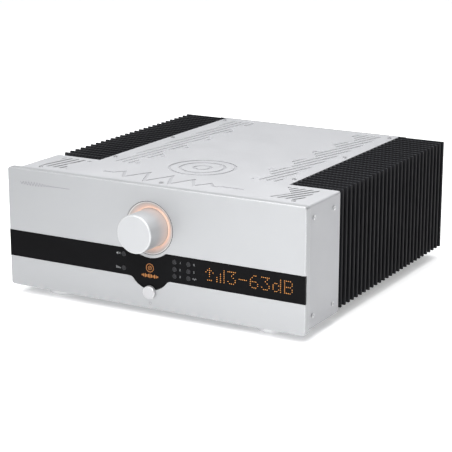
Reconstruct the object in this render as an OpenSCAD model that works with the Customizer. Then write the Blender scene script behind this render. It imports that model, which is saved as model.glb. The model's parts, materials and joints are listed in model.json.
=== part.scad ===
// Integrated stereo power amplifier, full-width hi-fi cabinet.
// Millimetres. X runs right, Y runs from the front panel to the rear, Z runs up.
// Modules are drawn with y = 0 on the panel face and z = 0 on the panel's lower edge; in_row()
// then moves them so that the origin is the bottom centre of the bounding box.

/* [Cabinet] */
// Width of the front panel
panel_w = 435; // [430:1:440]
// Height of the front panel
panel_h = 158.5; // [157:0.5:160]
// Thickness of the front panel
panel_t = 10; // [10:0.5:12]
// Radius of the front panel's corners
panel_r = 4; // [3:0.5:6]
// Bevel round the front panel's face
panel_bevel = 0.8; // [0.4:0.1:1.2]
// Depth of the cabinet from the panel face to the rear edge of the cover
cabinet_d = 440.4; // [438:0.2:444]
// Depth of the wide front section of the cover
front_d = 101.5; // [99:0.5:103]
// Width of the wide front section of the cover
cover_w = 424.4; // [422:0.2:426]
// Height of the cover's top face above the panel's lower edge
cover_z = 155.8; // [155:0.1:156.5]
// Sheet thickness of the cover
cover_t = 1.5; // [1.2:0.1:1.8]
// Outer bend radius of the cover
cover_r = 3; // [2.5:0.5:4]
// Height of the feet under the panel's lower edge
foot_h = 12; // [10:0.5:14]
// Diameter of a foot
foot_d = 48; // [44:1:52]

/* [Heatsinks] */
// Number of fins on the right-hand side, the left-hand one has one fewer
fin_count = 28; // [24:1:30]
// Thickness of a fin
fin_t = 3; // [2.5:0.1:3.5]
// Distance from the centre line to the inner face of a heatsink
sink_in = 142.6; // [142.6:0.1:143]
// Thickness of the heatsink's base plate
sink_base = 10; // [9:0.5:12]
// Distance from the centre line to the fin tips
sink_out = 210.8; // [208:0.2:212]

/* [Front controls] */
// Height of the knob's axis
knob_z = 104.35; // [104:0.05:105]
// Diameter of the knob
knob_d = 48.8; // [48:0.1:49]
// Distance the knob stands out of the panel face
knob_reach = 35; // [30:1:38]
// Outer diameter of the dish insert round the knob
dish_d = 68.6; // [68:0.1:69]
// Diameter of the standby button
standby_d = 17; // [16:0.5:18]
// Height of the standby button's axis
standby_z = 21.5; // [21:0.1:22]
// Diameter of a small button
button_d = 5.8; // [5:0.1:6]
// Travel of a small button
button_travel = 0.6; // [0.4:0.1:0.6]
// Travel of the standby button
standby_travel = 0.9; // [0.6:0.1:0.9]

/* [Window] */
// Lower edge of the black window
window_lo = 39; // [38.5:0.1:39.5]
// Upper edge of the black window
window_hi = 74.7; // [74:0.1:75]
// Radius of the window's lower bulge
bulge_r = 31.1; // [30:0.1:32]
// Radius of the window's cut-away round the dish
scoop_r = 38; // [37:0.1:39]
// Thickness of the window
window_t = 3; // [2.5:0.1:3]

/* [Vents] */
// Width of a vent slot
slot_w = 4; // [2.5:0.1:5]
// Distance across the cabinet between neighbouring slots
slot_step = 10.4; // [10.2:0.1:10.6]
// Distance along the cabinet between the teeth on a vent strip's inner edge
slot_group = 62.5; // [62:0.1:63]

/* [Rear] */
// Outer diameter of a phono socket's sleeve
phono_d = 8.3; // [8.2:0.1:8.4]
// Diameter of a speaker terminal's plug bore
plug_d = 4; // [4:0.1:4.1]
// Distance the speaker terminals stand out of the rear panel
post_reach = 27.6; // [25:0.1:30]

/* [Inside] */
// Outer diameter of the toroidal transformer
toroid_d = 152; // [140:1:154]
// Height of the toroidal transformer
toroid_h = 66; // [50:1:68]
// Diameter of a reservoir capacitor
can_d = 35; // [30:1:36]
// Height of a reservoir capacitor
can_h = 50; // [40:1:60]

/* [Hidden] */
$fn = 96;
eps = 1;
gap = 0.1;
dish_gap = 0.4;
shaft_gap = 0.05;
plate_t = 2;
rear_y = cabinet_d + plate_t;
row_mid = (rear_y + post_reach - knob_reach) / 2;
tray_z = cover_t;
floor_z = tray_z + plate_t;
side_x = cover_w / 2;
frame_x = side_x - cover_t - 0.2;
frame_top = cover_z - cover_t;
frame_y = panel_t + plate_t;
roof_x = sink_in - 0.5;
sink_top = cover_z - 0.2;
sink_step = 5;
// Heatsinks, right then left: number of fins and the first one's distance behind the cabinet's front
sinks = [[fin_count, 10.5], [fin_count - 1, 16]];

// Window bulge, scoop and their fillets: centres of the arcs
bulge_z = 55.2;
bulge_fillet = 8;
scoop_fillet = 5;
window_y = 0.3;

// Dish and lamp ring round the knob
dish_t = 6;
dish_deep = 5;
dish_throat = 26.6;
lamp_in = 25;
lamp_out = 26.5;
lamp_t = 1.4;
knob_back = 5.4;
knob_hollow_r = 10;
knob_hollow = 8;
shaft_r = 3;
shaft_tip = -14.8;
bush_r = 4.5;

// Small buttons: [x, z] of mute, dim and the six inputs
mute_at = [-38.5, 66];
dim_at = [-38.5, 47.7];
input_at = [[36.5, 65.8], [36.5, 56.6], [36.5, 47.7], [56.5, 65.8], [56.5, 56.6], [56.5, 47.7]];
button_proud = 0.7;
button_deep = 5;
stem_r = 1.5;
switch_y = 14.4;
board_y = 18;
board_t = 1.6;
standby_proud = 4;
standby_deep = 5;
standby_stem = 3;

// Readout: eight blocks in a row behind the window
cell_count = 8;
cell_pitch = 15.5;
cell_w = 15.2;
cell_h = 21;
cell_x = 86.3;
cell_z = 57.5;

// Screws
screw_r = 2;
head_r = 2.8;
head_h = 1.3;
socket_r = 1.75;
socket_h = 0.9;
screw_len = 7;
top_screws = [[-185.5, 29], [0, 29], [185.5, 29],
              [-135, 128], [135, 128], [-135, 275], [135, 275], [-135, 423], [135, 423]];
side_screws = [[30, 17], [84, 17], [30, 138.7], [84, 138.7]];
rear_screws_at = [[-147.6, 20], [-147.6, 80], [-147.6, 140], [147.6, 20], [147.6, 80], [147.6, 140]];
panel_screws_at = [[-195, 20], [-195, 138], [195, 20], [195, 138], [-70, 145], [70, 145]];
foot_at = [[-156.5, 41], [156.5, 41], [-112, 400], [112, 400]];

// Vents: a strip down each side with a toothed inner edge, and a notched block in each front corner
strip_tip = 78;
strip_root = 98;
strip_out = 122.5;
strip_front = 107;
strip_rear = 429;
tooth_y = 102.5;
tooth_half = 26;
tooth_last = 5;
corner_block = [[190.5, 91], [190.5, 35.5], [149, 35.5], [165, 62], [146, 89], [146, 91]];
corner_front = 36;
slot_len = 340;
slot_lead = 5;

// Slots on the right and on the left: first slot's x, number of slots, lean from the cabinet's width
strip_slots = [[2.8, 12, 75], [-161.6, 8, 82]];
corner_slots = [[119.5, 7, 61], [-201.5, 6, 77.5]];

// Engraving on the cover
engrave_w = 4.5;
engrave_t = 0.8;
engrave_y = 130;
engrave_rings = [43, 29, 11];
trace = [[-101, 50], [-86, 50], [-76, 63], [-61, 36], [-44, 71], [-26, 29], [-8, 69], [10, 31], [26, 65],
         [42, 37], [55, 58], [66, 45], [76, 50], [106, 50]];

// Rear sockets
post_at = [[-116, 48], [-84, 48], [84, 48], [116, 48]];
post_stud_r = 4;
post_cap_r = 8.5;
post_flange_r = 9.5;
post_flange_t = 4;
phono_x = [-128, -107, -86, -65, -44, -23];
phono_z = [112, 132];
phono_len = 9.5;
phono_neck = 3.9;
phono_bore = 3.3;
phono_pin = 1.6;
balanced_at = [[22, 122], [60, 122]];
inlet_at = [-10, 40];
rocker_at = [44, 40];

// Inside
toroid_y = 112;
toroid_in = 26;
pad_t = 2.5;
clamp_r = 52;
supply_z = 12;
supply_y = [195, 335];
supply_x = 100;
supply_holes = [[-94, 201], [94, 201], [-94, 329], [94, 329]];
control_holes = [[-55, 17], [67, 17], [-55, 79], [67, 79]];
amp_holes = [[198, 26], [402, 26], [198, 120], [402, 120]];
pillar_r = 3.2;
stud_r = 1.5;
hole_r = 1.6;
can_x = [-75, -25, 25, 75];
can_y = [222, 272];
amp_x = 128;
amp_y = [190, 410];
amp_z = [18, 128];
transistor_y = 214;
transistor_pitch = 34;
transistor_count = 6;
input_y = 421;

// Moves a part from the panel's frame to the row's frame
module in_row() {
    translate([0, -row_mid, foot_h]) children();
}

// Slab standing upright: a profile in x and z, from y0 to y0 + t
module slab(y0, t) {
    translate([0, y0 + t, 0]) rotate([90, 0, 0]) linear_extrude(t) children();
}

// Cylinder along the cabinet's depth, from y0 to y1
module rod(x, z, r, y0, y1) {
    translate([x, y1, z]) rotate([90, 0, 0]) cylinder(r = r, h = y1 - y0);
}

// Box given by its two opposite corners
module block(a, b) {
    translate(a) cube(b - a);
}

// Solid of revolution about an axis along the depth: profile in radius and depth
module turned(x, z) {
    translate([x, 0, z]) rotate([-90, 0, 0]) rotate_extrude() children();
}

// Both sides of the cabinet
module both() {
    children();
    mirror([1, 0, 0]) children();
}

// Rectangle with rounded corners, centred
module round_rect(w, h, r) {
    square([w - 2 * r, h], center = true);
    square([w, h - 2 * r], center = true);
    for (sx = [-1, 1], sz = [-1, 1])
        translate([sx * (w / 2 - r), sz * (h / 2 - r)]) circle(r);
}

// Bevel cutter round a rounded rectangle whose face is at y = 0
module face_bevel(w, h, r, c) {
    edge = [[-eps, -c - eps], [-eps, eps], [c + eps, eps]];
    for (k = [0 : 3]) {
        len = (k % 2 == 0 ? w : h) - 2 * r;
        half = (k % 2 == 0 ? h : w) / 2;
        rotate([0, 90 * k, 0]) translate([-len / 2, 0, half])
            rotate([90, 0, 90]) linear_extrude(len) polygon(edge);
    }
    for (k = [0 : 3]) {
        sx = (k == 0 || k == 3) ? 1 : -1;
        sz = (k == 0 || k == 1) ? -1 : 1;
        translate([sx * (w / 2 - r), 0, sz * (h / 2 - r)]) rotate([0, 90 * k, 0])
            rotate([-90, 0, 0]) rotate_extrude(angle = 90)
                polygon([[r - c - eps, -eps], [r + eps, -eps], [r + eps, c + eps]]);
    }
}

// Points of an arc about [x, z], without its first point
function arc(x, z, r, from, to, steps) =
    [for (i = [1 : steps]) [x + r * cos(from + (to - from) * i / steps),
                            z + r * sin(from + (to - from) * i / steps)]];

// Outline of the black window: band with a bulge below and a scoop above, in short straight steps
module window_outline(w) {
    drop = bulge_z - window_lo + bulge_fillet;
    fill_x = sqrt(pow(bulge_r + bulge_fillet, 2) - pow(drop, 2));
    fill_a = atan2(drop, fill_x);
    rise = knob_z - window_hi + scoop_fillet;
    cut_x = sqrt(pow(scoop_r + scoop_fillet, 2) - pow(rise, 2));
    cut_a = atan2(rise, cut_x);
    half = concat(
        [[0, bulge_z - bulge_r]],
        arc(0, bulge_z, bulge_r, -90, -fill_a, 16),
        arc(fill_x, window_lo - bulge_fillet, bulge_fillet, 180 - fill_a, 90, 8),
        [[w / 2, window_lo], [w / 2, window_hi]],
        [[cut_x, window_hi]],
        arc(cut_x, window_hi - scoop_fillet, scoop_fillet, 90, 180 - cut_a, 5),
        arc(0, knob_z, scoop_r, -cut_a, -90, 12));
    polygon(concat(half, [for (i = [len(half) - 2 : -1 : 1]) [-half[i][0], half[i][1]]]));
}

// Bores for the nine buttons, stepped from cap to stem
module button_bores() {
    for (p = concat([mute_at, dim_at], input_at)) {
        rod(p[0], p[1], button_d / 2 + gap, -eps, button_deep + 1);
        rod(p[0], p[1], stem_r + gap, 0, panel_t + eps);
    }
    rod(0, standby_z, standby_d / 2 + gap, -eps, standby_deep + 2);
    rod(0, standby_z, standby_stem + gap, 0, panel_t + eps);
}

module front_panel() {
    color([0.82, 0.82, 0.84]) in_row() difference() {
        slab(0, panel_t) translate([0, panel_h / 2]) round_rect(panel_w, panel_h, panel_r);
        translate([0, 0, panel_h / 2]) face_bevel(panel_w, panel_h, panel_r, panel_bevel);
        slab(-eps, window_y + window_t + eps) window_outline(panel_w + 2 * eps);
        rod(0, knob_z, dish_d / 2 + dish_gap, -eps, dish_t);
        rod(0, knob_z, bush_r + gap, 0, panel_t + eps);
        button_bores();
        slab(0, panel_t + eps) translate([cell_x + 3.5 * cell_pitch, cell_z])
            square([cell_count * cell_pitch + 1, cell_h + 1], center = true);
        slab(0, panel_t + eps) translate([0, 50.5]) square([26.4, 19.4], center = true);
        for (p = panel_screws_at) rod(p[0], p[1], screw_r, 4, panel_t + eps);
    }
}

module display_window() {
    color([0.03, 0.03, 0.035]) in_row() difference() {
        slab(window_y, window_t) window_outline(panel_w - 0.4);
        button_bores();
    }
}

module knob_dish() {
    color([0.88, 0.88, 0.9]) in_row() turned(0, knob_z) polygon([
        [dish_throat, dish_deep], [dish_d / 2 - 0.8, 0], [dish_d / 2, 0],
        [dish_d / 2, dish_t], [dish_throat, dish_t]]);
}

module lamp_ring() {
    color([1, 0.55, 0.25]) in_row() turned(0, knob_z)
        translate([lamp_in, dish_t - lamp_t]) square([lamp_out - lamp_in, lamp_t]);
}

module volume_knob() {
    color([0.86, 0.86, 0.88]) in_row() turned(0, knob_z) polygon([
        [0, -knob_reach], [knob_d / 2 - 1, -knob_reach], [knob_d / 2, 1 - knob_reach],
        [knob_d / 2, knob_back], [knob_hollow_r, knob_back], [knob_hollow_r, knob_back - knob_hollow],
        [shaft_r, knob_back - knob_hollow], [shaft_r, shaft_tip], [0, shaft_tip]]);
}

module encoder_shaft() {
    color([0.7, 0.7, 0.72]) in_row() rod(0, knob_z, shaft_r, shaft_tip, 17);
}

module encoder_body() {
    color([0.55, 0.55, 0.57]) in_row() difference() {
        union() {
            rod(0, knob_z, bush_r, 2.5, panel_t + 1);
            block([-7, panel_t, knob_z - 7], [7, 19, knob_z + 7]);
            for (x = [-5, 0, 5]) block([x - 0.4, 14, knob_z - 11], [x + 0.4, 14.6, knob_z - 7]);
        }
        rod(0, knob_z, shaft_r + shaft_gap, 0, 17.2);
    }
}

module encoder_nut() {
    color([0.75, 0.75, 0.77]) in_row() difference() {
        slab(4, 2) translate([0, knob_z]) circle(6.6, $fn = 6);
        rod(0, knob_z, bush_r, 0, panel_t);
    }
}

module standby_button() {
    stem_end = switch_y - standby_travel - shaft_gap;
    color([0.88, 0.88, 0.9]) in_row() {
        turned(0, standby_z) polygon([
            [0, -standby_proud], [standby_d / 2 - 0.6, -standby_proud], [standby_d / 2, 0.6 - standby_proud],
            [standby_d / 2, standby_deep], [standby_stem, standby_deep],
            [standby_stem, stem_end], [0, stem_end]]);
    }
}

// One small push button: a slightly dished cap on a thin stem
module small_button(p) {
    color([0.09, 0.09, 0.1]) in_row() turned(p[0], p[1]) polygon([
        [0, 0.2 - button_proud], [button_d / 2 - 0.6, -button_proud], [button_d / 2 - 0.2, -button_proud],
        [button_d / 2, 0.2 - button_proud], [button_d / 2, button_deep], [stem_r, button_deep],
        [stem_r, switch_y - button_travel], [0, switch_y - button_travel]]);
}

module mute_button() {
    small_button(mute_at);
}

module dim_button() {
    small_button(dim_at);
}

module input_button_1() {
    small_button(input_at[0]);
}

module input_button_2() {
    small_button(input_at[1]);
}

module input_button_3() {
    small_button(input_at[2]);
}

module input_button_4() {
    small_button(input_at[3]);
}

module input_button_5() {
    small_button(input_at[4]);
}

module input_button_6() {
    small_button(input_at[5]);
}

module button_switches() {
    color([0.15, 0.15, 0.16]) in_row()
        for (p = concat([mute_at, dim_at], input_at, [[0, standby_z]]))
            block([p[0] - 3, switch_y, p[1] - 3], [p[0] + 3, board_y, p[1] + 3]);
}

module control_board() {
    color([0.08, 0.3, 0.16]) in_row() difference() {
        block([-60, board_y, 12], [72, board_y + board_t, 84]);
        for (p = control_holes) rod(p[0], p[1], hole_r, board_y - eps, board_y + board_t + eps);
    }
}

module display_board() {
    color([0.08, 0.3, 0.16]) in_row() {
        block([74, frame_y + 0.5, 40], [210 - 3.5, frame_y + 0.5 + board_t, 74]);
    }
}

module readout_cells() {
    color([0.15, 0.1, 0.08]) in_row() for (i = [0 : cell_count - 1])
        translate([cell_x + i * cell_pitch, 8.5, cell_z])
            cube([cell_w, 8, cell_h], center = true);
}

module emblem_guide() {
    color([1, 0.7, 0.4]) in_row() block([-13, window_y + window_t, 41], [13, 9, 60]);
}

module front_frame() {
    color([0.5, 0.51, 0.53]) in_row() difference() {
        union() {
            slab(panel_t, plate_t) {
                translate([-frame_x, floor_z]) square([2 * frame_x, frame_top - cover_r - floor_z]);
                translate([cover_r - frame_x, floor_z]) square([2 * (frame_x - cover_r), frame_top - floor_z]);
            }
            both() block([frame_x - plate_t, panel_t, floor_z], [frame_x, 98, frame_top - cover_r]);
            block([cover_r - frame_x, panel_t, frame_top - plate_t], [frame_x - cover_r, 38, frame_top]);
        }
        slab(panel_t - eps, plate_t + 2 * eps) {
            translate([-46, 11]) square([108, 64]);
            translate([73, 45]) square([132.5, 25]);
            translate([-10, knob_z - 12]) square([20, 20]);
        }
        for (p = top_screws) if (p[1] < front_d)
            translate([p[0], p[1], frame_top - 5]) cylinder(r = screw_r, h = 10);
        both() for (p = side_screws)
            translate([frame_x - 4, p[0], p[1]]) rotate([0, 90, 0]) cylinder(r = screw_r, h = 8);
        for (p = panel_screws_at) rod(p[0], p[1], screw_r + gap, panel_t - eps, frame_y + eps);
        for (p = control_holes) rod(p[0], p[1], hole_r, panel_t - eps, frame_y + eps);
    }
}

// Screw with its head at z = 0 upwards and the shank below, socket in the head
module screw(len) {
    difference() {
        union() {
            cylinder(r = head_r, h = head_h, $fn = 48);
            translate([0, 0, -len]) cylinder(r = screw_r - shaft_gap, h = len + head_h / 2, $fn = 48);
        }
        translate([0, 0, head_h - socket_h]) cylinder(r = socket_r, h = eps, $fn = 6);
    }
}

module panel_screws() {
    color([0.3, 0.3, 0.32]) in_row() for (p = panel_screws_at)
        translate([p[0], frame_y, p[1]]) rotate([-90, 0, 0]) screw(screw_len);
}

// Plan outline of the cover: wide at the front, narrow between the heatsinks
module cover_plan() {
    translate([-side_x + cover_r, panel_t]) square([2 * (side_x - cover_r), front_d - panel_t]);
    translate([-roof_x, panel_t]) square([2 * roof_x, cabinet_d - panel_t]);
}

// Area of the right-hand vent strip
module strip_area() {
    tooth = [[strip_root, -tooth_half], [strip_tip, 0], [strip_root, tooth_half]];
    teeth = [for (k = [0 : tooth_last], p = tooth) [p[0], tooth_y + slot_group * k + p[1]]];
    intersection() {
        translate([0, strip_front]) square([strip_out, strip_rear - strip_front]);
        polygon(concat([[strip_out, tooth_y + slot_group * tooth_last + tooth_half],
                        [strip_out, tooth_y - tooth_half]], teeth));
    }
}

// Parallel slots of a vent, all starting at y; row holds the first one's x, their number and lean
module slots(row, y) {
    for (i = [0 : row[1] - 1])
        translate([row[0] + slot_step * i, y]) rotate(row[2])
            translate([-slot_lead, -slot_w / 2]) square([slot_len, slot_w]);
}

// All vent slots of the cover, right then left
module vents() {
    for (side = [0, 1]) {
        intersection() {
            mirror([side, 0]) strip_area();
            slots(strip_slots[side], strip_front);
        }
        intersection() {
            mirror([side, 0]) polygon(corner_block);
            slots(corner_slots[side], corner_front);
        }
    }
}

// Unit vector to the left of the way from a to b
function left_of(a, b) = [a[1] - b[1], b[0] - a[0]] / norm(b - a);

// Half-width step sideways at point i of the trace, mitred between its two strokes
function mitre(i) =
    let (n = len(trace) - 1,
         m = left_of(trace[max(i - 1, 0)], trace[max(i, 1)]) + left_of(trace[min(i, n - 1)], trace[min(i + 1, n)]))
    m * engrave_w / (m * m);

// Engraving on the cover: the rings of a loudspeaker cone and, in front of them, a level trace
module engraving() {
    last = len(trace) - 1;
    for (r = engrave_rings) translate([0, engrave_y]) difference() {
        circle(r + engrave_w / 2);
        circle(r - engrave_w / 2);
    }
    polygon(concat([for (i = [0 : last]) trace[i] + mitre(i)],
                   [for (i = [last : -1 : 0]) trace[i] - mitre(i)]));
}

module top_cover() {
    color([0.83, 0.83, 0.85]) in_row() difference() {
        union() {
            translate([0, 0, cover_z - cover_t]) linear_extrude(cover_t) difference() {
                cover_plan();
                vents();
                for (p = top_screws) translate(p) circle(screw_r + gap, $fn = 48);
            }
            both() {
                block([side_x - cover_t, panel_t, tray_z], [side_x, front_d, cover_z - cover_r]);
                block([sink_in - 0.5 - cover_t, front_d - cover_t, tray_z],
                      [side_x, front_d, cover_z - cover_r]);
                block([sink_in - 0.5 - cover_t, front_d - cover_t, cover_z - cover_r],
                      [side_x - cover_r, front_d, cover_z - cover_t]);
                translate([side_x - cover_r, panel_t, cover_z - cover_r]) rotate([-90, 0, 0])
                    linear_extrude(front_d - panel_t) difference() {
                        intersection() {
                            circle(cover_r);
                            translate([0, -cover_r]) square(cover_r);
                        }
                        circle(cover_r - cover_t);
                    }
                block([roof_x - cover_t, front_d, cover_z - 9], [roof_x, cabinet_d, cover_z - cover_t]);
            }
        }
        both() for (p = side_screws)
            translate([side_x - 4, p[0], p[1]]) rotate([0, 90, 0])
                cylinder(r = screw_r + gap, h = 8, $fn = 48);
        translate([0, 0, cover_z - engrave_t]) linear_extrude(engrave_t + eps) engraving();
    }
}

module cover_screws() {
    color([0.72, 0.72, 0.74]) in_row() {
        for (p = top_screws) translate([p[0], p[1], cover_z]) screw(screw_len);
        both() for (p = side_screws) translate([side_x, p[0], p[1]]) rotate([0, 90, 0]) screw(screw_len - 1);
    }
}

module cover_rails() {
    color([0.5, 0.51, 0.53]) in_row() difference() {
        both() block([129.5, front_d + 0.5, frame_top - 10], [140.4, cabinet_d, frame_top]);
        for (p = top_screws) if (p[1] > front_d)
            translate([p[0], p[1], frame_top - 8]) cylinder(r = screw_r, h = 10);
    }
}

module base_plate() {
    color([0.5, 0.51, 0.53]) in_row() difference() {
        translate([0, 0, tray_z]) linear_extrude(plate_t) difference() {
            union() {
                translate([-frame_x, panel_t]) square([2 * frame_x, front_d - cover_t - panel_t - 0.1]);
                translate([-roof_x + cover_t + 0.2, panel_t])
                    square([2 * (roof_x - cover_t - 0.2), cabinet_d - panel_t]);
            }
            for (p = foot_at) translate(p) circle(screw_r + shaft_gap);
            translate([0, toroid_y]) circle(4.05);
            for (p = supply_holes) translate(p) circle(hole_r);
        }
    }
}

module rear_panel() {
    color([0.5, 0.51, 0.53]) in_row() slab(cabinet_d, plate_t) difference() {
        translate([-152.4, tray_z]) square([304.8, cover_z - tray_z]);
        for (p = rear_screws_at) translate(p) circle(screw_r + gap);
        for (p = post_at) translate(p) circle(6);
        for (x = phono_x, z = phono_z) translate([x, z]) circle(5);
        for (p = balanced_at) translate(p) circle(12);
        translate(inlet_at) square([46.4, 38.4], center = true);
        translate(rocker_at) square([18.4, 26.4], center = true);
    }
}

module rear_screws() {
    color([0.3, 0.3, 0.32]) in_row() for (p = rear_screws_at)
        translate([p[0], rear_y, p[1]]) rotate([-90, 0, 0]) screw(screw_len + 2);
}

// Right-hand heatsink: a base plate with upright fins, row holds their number and the first one's place
module heatsink(row) {
    last = row[0] - 1;
    pitch = (cabinet_d - fin_t - front_d - row[1]) / last;
    difference() {
        union() {
            block([sink_in, front_d + 0.5, 3.5], [sink_in + sink_base, cabinet_d, sink_top - sink_step]);
            for (i = [0 : last]) {
                y = cabinet_d - fin_t - pitch * i;
                block([sink_in, y, 3.5], [sink_out, y + fin_t, sink_top]);
            }
        }
        for (p = rear_screws_at) rod(abs(p[0]), p[1], screw_r, cabinet_d - 9, cabinet_d + eps);
    }
}

module right_heatsink() {
    color([0.07, 0.07, 0.08]) in_row() heatsink(sinks[0]);
}

module left_heatsink() {
    color([0.07, 0.07, 0.08]) in_row() mirror([1, 0, 0]) heatsink(sinks[1]);
}

module feet() {
    color([0.8, 0.8, 0.82]) in_row() for (p = foot_at) translate([p[0], p[1], 0]) rotate_extrude() polygon([
        [screw_r + shaft_gap, tray_z], [foot_d / 2 - 1, tray_z], [foot_d / 2, tray_z - 1],
        [foot_d / 2, 1.5 - foot_h], [foot_d / 2 - 1, 0.5 - foot_h], [foot_d / 2 - 4, 0.5 - foot_h],
        [foot_d / 2 - 4, 2.5 - foot_h], [6, 2.5 - foot_h], [6, -4], [screw_r + shaft_gap, -4]]);
}

module foot_pads() {
    color([0.05, 0.05, 0.05]) in_row() for (p = foot_at) translate([p[0], p[1], -foot_h]) difference() {
        cylinder(r = foot_d / 2 - 4.2, h = 2.5);
        translate([0, 0, -eps]) cylinder(r = 8, h = 5);
    }
}

module foot_screws() {
    color([0.3, 0.3, 0.32]) in_row() for (p = foot_at)
        translate([p[0], p[1], -4]) rotate([180, 0, 0]) screw(8);
}

module transformer() {
    color([0.75, 0.6, 0.2]) in_row() translate([0, toroid_y, floor_z + pad_t + toroid_h / 2])
        rotate_extrude() translate([(toroid_d / 2 + toroid_in) / 2, 0])
            round_rect(toroid_d / 2 - toroid_in, toroid_h, 10);
}

module transformer_pads() {
    color([0.06, 0.06, 0.06]) in_row() translate([0, toroid_y, 0]) for (z = [floor_z, floor_z + pad_t + toroid_h])
        translate([0, 0, z]) linear_extrude(pad_t) difference() {
            circle(clamp_r + 8);
            circle(6);
        }
}

module transformer_clamp() {
    color([0.6, 0.6, 0.62]) in_row() translate([0, toroid_y, floor_z + 2 * pad_t + toroid_h])
        linear_extrude(plate_t) difference() {
            circle(clamp_r);
            circle(4.05);
        }
}

module transformer_bolt() {
    top_z = floor_z + 2 * pad_t + toroid_h + plate_t;
    color([0.3, 0.3, 0.32]) in_row() translate([0, toroid_y, 0]) {
        translate([0, 0, top_z]) cylinder(r = 7.5, h = 5.3, $fn = 6);
        translate([0, 0, tray_z - 6]) cylinder(r = 4, h = top_z - tray_z + 7);
        translate([0, 0, tray_z - 5]) difference() {
            cylinder(r = 7.5, h = 5, $fn = 6);
            translate([0, 0, -eps]) cylinder(r = 3.9, h = 8);
        }
    }
}

module supply_board() {
    color([0.08, 0.3, 0.16]) in_row() translate([0, 0, supply_z]) linear_extrude(board_t) difference() {
        translate([-supply_x, supply_y[0]]) square([2 * supply_x, supply_y[1] - supply_y[0]]);
        for (p = supply_holes) translate(p) circle(hole_r);
    }
}

// Hexagonal pillar from z = 0 to len, with a stud through what it stands on and a nut on what it carries
module pillar(len, under, over) {
    cylinder(r = pillar_r, h = len, $fn = 6);
    translate([0, 0, -under]) cylinder(r = stud_r, h = under + eps, $fn = 48);
    translate([0, 0, len - eps]) cylinder(r = stud_r, h = over + eps, $fn = 48);
    translate([0, 0, len + over]) cylinder(r = pillar_r, h = 2, $fn = 6);
}

module board_pillars() {
    color([0.75, 0.65, 0.35]) in_row() {
        for (p = supply_holes) translate([p[0], p[1], floor_z]) pillar(supply_z - floor_z, plate_t, board_t);
        for (p = control_holes) translate([p[0], frame_y, p[1]]) rotate([-90, 0, 0])
            pillar(board_y - frame_y, plate_t, board_t);
        both() for (p = amp_holes) translate([sink_in, p[0], p[1]]) rotate([0, -90, 0])
            pillar(sink_in - amp_x - board_t, 0, board_t);
    }
}

module reservoir_capacitors() {
    color([0.1, 0.1, 0.12]) in_row() for (x = can_x, y = can_y)
        translate([x, y, supply_z + board_t]) cylinder(r = can_d / 2, h = can_h);
}

module bridge_rectifiers() {
    color([0.12, 0.12, 0.13]) in_row() for (x = [-45, 45])
        block([x - 15, 306, supply_z + board_t], [x + 15, 312, supply_z + board_t + 22]);
}

module amp_boards() {
    color([0.08, 0.3, 0.16]) in_row() both() difference() {
        block([amp_x, amp_y[0], amp_z[0]], [amp_x + board_t, amp_y[1], amp_z[1]]);
        for (p = amp_holes) translate([amp_x - eps, p[0], p[1]]) rotate([0, 90, 0]) cylinder(r = hole_r, h = 4);
    }
}

module output_transistors() {
    color([0.1, 0.1, 0.11]) in_row() both() for (i = [0 : transistor_count - 1])
        translate([0, transistor_y + i * transistor_pitch, 0]) {
            block([sink_in - 5, -8, 80], [sink_in, 8, 101]);
            for (y = [-5.5, 0, 5.5]) {
                block([sink_in - 4, y - 0.6, 72], [sink_in - 3.4, y + 0.6, 81]);
                block([amp_x + board_t, y - 0.6, 72], [sink_in - 3.4, y + 0.6, 72.6]);
            }
        }
}

module input_board() {
    color([0.08, 0.3, 0.16]) in_row() {
        block([-138, input_y, 98], [127, input_y + board_t, 142]);
        for (x = phono_x) block([x - 5, input_y - 10, 117], [x + 5, input_y, 127]);
    }
}

module ribbon_cable() {
    color([0.6, 0.6, 0.62]) in_row() {
        block([101, frame_y + 0.5 + board_t, 44], [125, 22, 50]);
        block([103, 22, 4.2], [123, 23, 50]);
        block([103, 22, 4.2], [123, 414, 5.2]);
        block([103, 413, 4.2], [123, 414, 102]);
        block([101, 414, 98], [125, input_y, 104]);
    }
}

// Metal sleeve of a phono socket
module phono_sleeve(x, z) {
    difference() {
        union() {
            rod(x, z, phono_neck, rear_y - 6, rear_y + 2);
            rod(x, z, phono_d / 2, rear_y + 1.6, rear_y + phono_len);
        }
        rod(x, z, phono_bore, rear_y - 7, rear_y + phono_len + eps);
    }
}

module phono_shells() {
    color([0.8, 0.7, 0.4]) in_row() for (x = phono_x, z = phono_z) phono_sleeve(x, z);
}

module phono_insulators() {
    color([0.85, 0.85, 0.85]) in_row() for (x = phono_x, z = phono_z) difference() {
        union() {
            rod(x, z, 6.4, rear_y, rear_y + 1.6);
            rod(x, z, 4.9, cabinet_d - 4, rear_y + eps);
            rod(x, z, phono_bore, rear_y, rear_y + phono_len - 1);
            block([x - 5, input_y + board_t, z - 6], [x + 5, cabinet_d - 3, z + 6]);
        }
        phono_sleeve(x, z);
        rod(x, z, phono_pin, rear_y - 8, rear_y + phono_len);
    }
}

module balanced_sockets() {
    color([0.25, 0.25, 0.27]) in_row() for (p = balanced_at) difference() {
        union() {
            slab(rear_y, 2.2) translate(p) round_rect(26, 31, 3);
            rod(p[0], p[1], 11.8, input_y + board_t, rear_y + eps);
        }
        difference() {
            rod(p[0], p[1], 9.7, rear_y - 12, rear_y + 5);
            rod(p[0], p[1], 7.4, rear_y - 13, rear_y + 1.4);
        }
        for (a = [30, 150, 270])
            rod(p[0] + 4.2 * cos(a), p[1] + 4.2 * sin(a), 1.2, rear_y - 10, rear_y + 5);
    }
}

module speaker_posts() {
    color([0.8, 0.7, 0.4]) in_row() for (p = post_at) difference() {
        rod(p[0], p[1], post_stud_r, cabinet_d - 14, rear_y + post_reach);
        rod(p[0], p[1], plug_d / 2, rear_y + post_reach - 20, rear_y + post_reach + eps);
    }
}

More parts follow.
